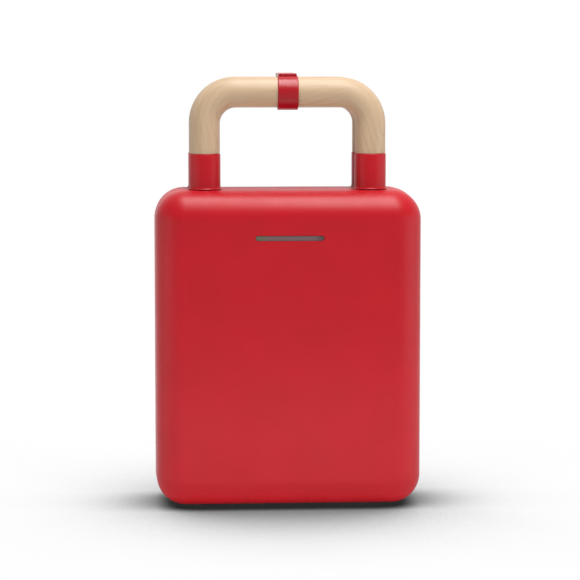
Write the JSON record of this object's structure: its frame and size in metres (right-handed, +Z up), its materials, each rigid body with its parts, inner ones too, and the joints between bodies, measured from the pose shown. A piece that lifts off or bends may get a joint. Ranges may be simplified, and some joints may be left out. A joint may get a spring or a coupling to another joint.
{
  "type": "sandwich and waffle maker",
  "caption": "Clamshell contact cooker stored on its hinge end, with two wooden U handles, a latch clip, an indicator window and waffle plates.",
  "frame": {"origin": "centre of the overall box at its underside, where the end feet stand", "axes": "+Z up from the hinge end to the handles, -Y towards the lid's outer face, +Y towards the base's feet, +X across"},
  "size_m": [0.222, 0.103, 0.3617],
  "materials": {
    "red_shell": "satin",
    "latch_red": "satin",
    "black_plastic": "matte",
    "slide_plastic": "satin",
    "nonstick": "satin",
    "element_steel": "satin",
    "bright_steel": "satin",
    "reflector_sheet": "bright",
    "wood": "satin",
    "rubber": "matte",
    "cream_plastic": "matte",
    "wire_sleeve": "matte",
    "lead_sleeve": "matte",
    "smoked_window": "polished",
    "board": "satin",
    "green_lens": "polished",
    "red_lens": "polished"
  },
  "bodies": {
    "base": {"base_housing": "red_shell", "base_bezel": "black_plastic", "base_waffle_plate": "nonstick", "base_element": "element_steel", "base_element_clips": "bright_steel", "base_reflector": "reflector_sheet", "base_reflector_screws": "bright_steel", "base_release_spring": "bright_steel", "base_housing_screws": "bright_steel", "base_handle": "wood", "base_socket_left": "red_shell", "base_socket_right": "red_shell", "base_handle_screws": "bright_steel", "base_end_feet": "rubber", "base_terminal_block": "cream_plastic", "base_wires": "wire_sleeve", "base_hinge_lead": "lead_sleeve", "base_thermostat": "bright_steel", "thermal_fuse": "wire_sleeve", "rear_feet": "rubber", "cord_gland": "rubber", "hinge_pins": "bright_steel"},
    "lid": {"lid_housing": "red_shell", "lid_bezel": "black_plastic", "lid_waffle_plate": "nonstick", "lid_element": "element_steel", "lid_element_clips": "bright_steel", "lid_reflector": "reflector_sheet", "lid_reflector_screws": "bright_steel", "lid_release_spring": "bright_steel", "lid_housing_screws": "bright_steel", "lid_handle": "wood", "lid_socket_left": "red_shell", "lid_socket_right": "red_shell", "lid_handle_screws": "bright_steel", "lid_end_feet": "rubber", "lid_terminal_block": "cream_plastic", "lid_wires": "wire_sleeve", "lid_hinge_lead": "lead_sleeve", "lid_thermal_limiter": "bright_steel", "indicator_window": "smoked_window", "indicator_board": "board", "indicator_screws": "bright_steel", "indicator_leads": "wire_sleeve", "green_lamp": "green_lens", "red_lamp": "red_lens"},
    "latch": {"latch_clip": "latch_red"},
    "base_release": {"base_release_slide": "slide_plastic"},
    "lid_release": {"lid_release_slide": "slide_plastic"}
  },
  "joints": [
    {"name": "lid_hinge", "type": "hinge", "parent": "base", "child": "lid", "pos_m": [0, -0.0015, 0.01], "axis": [1, 0, 0], "range_deg": [0, 105]},
    {"name": "latch_pivot", "type": "hinge", "parent": "lid", "child": "latch", "pos_m": [0, -0.016, 0.346], "axis": [1, 0, 0], "range_deg": [0, 100]},
    {"name": "base_release_slide", "type": "slide", "parent": "base", "child": "base_release", "axis": [0, 0, 1], "range_m": [0, 0.004], "stiffness_N_per_m": 300, "springref_m": -0.004, "deforming": ["base_release_spring"]},
    {"name": "lid_release_slide", "type": "slide", "parent": "lid", "child": "lid_release", "axis": [0, 0, 1], "range_m": [0, 0.004], "stiffness_N_per_m": 300, "springref_m": -0.004, "deforming": ["lid_release_spring"]}
  ]
}
